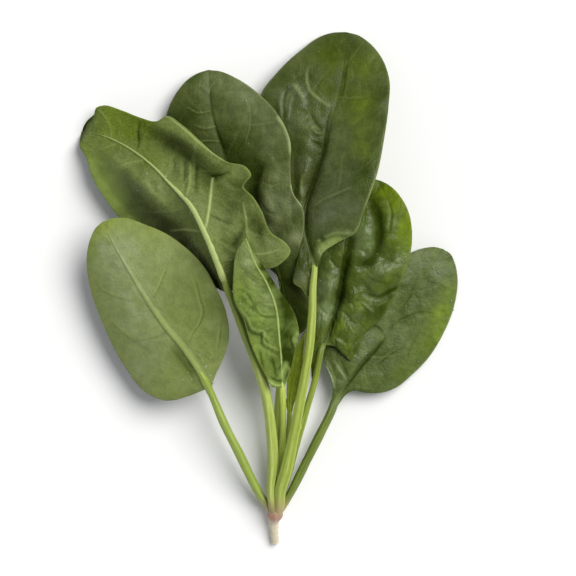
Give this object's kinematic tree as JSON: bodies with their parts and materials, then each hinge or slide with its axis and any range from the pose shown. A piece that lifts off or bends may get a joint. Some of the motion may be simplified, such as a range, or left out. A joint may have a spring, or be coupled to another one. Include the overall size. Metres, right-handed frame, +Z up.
{
  "type": "spinach bunch",
  "caption": "Small bunch of fresh spinach lying flat: broad oval leaves on slender stalks that meet at a pinkish crown with a short stub of pale taproot.",
  "frame": {"origin": "middle of the bounding box, on the plane of the table that the bunch lies on", "axes": "+Y along the length of the bunch, from the cut taproot to the leaf tips; +Z up from the table; +X to the right as seen from above"},
  "size_m": [0.1848, 0.2498, 0.0434],
  "materials": {
    "leaf_green": "fresh leaf, upper face, semi-gloss",
    "leaf_pale": "fresh leaf, paler underside or young leaf, satin",
    "stalk_green": "fresh ribbed leaf stalk, semi-gloss",
    "crown_pink": "pinkish crown, satin",
    "root_cream": "pale root skin, matte"
  },
  "bodies": {
    "root": {"crown": "crown_pink", "taproot": "root_cream", "tall_leaf_stalk": "stalk_green", "upper_left_leaf_stalk": "stalk_green", "lower_left_leaf_stalk": "stalk_green", "lower_right_leaf_stalk": "stalk_green", "crinkled_leaf_stalk": "stalk_green", "top_left_leaf_stalk": "stalk_green", "folded_leaf_stalk": "stalk_green", "young_leaf_stalk": "stalk_green", "tall_leaf_blade": "leaf_green", "upper_left_leaf_blade": "leaf_pale", "lower_left_leaf_blade": "leaf_pale", "lower_right_leaf_blade": "leaf_green", "crinkled_leaf_blade": "leaf_green", "top_left_leaf_blade": "leaf_green", "folded_leaf_blade": "leaf_pale", "young_leaf_blade": "leaf_pale"}
  },
  "joints": []
}
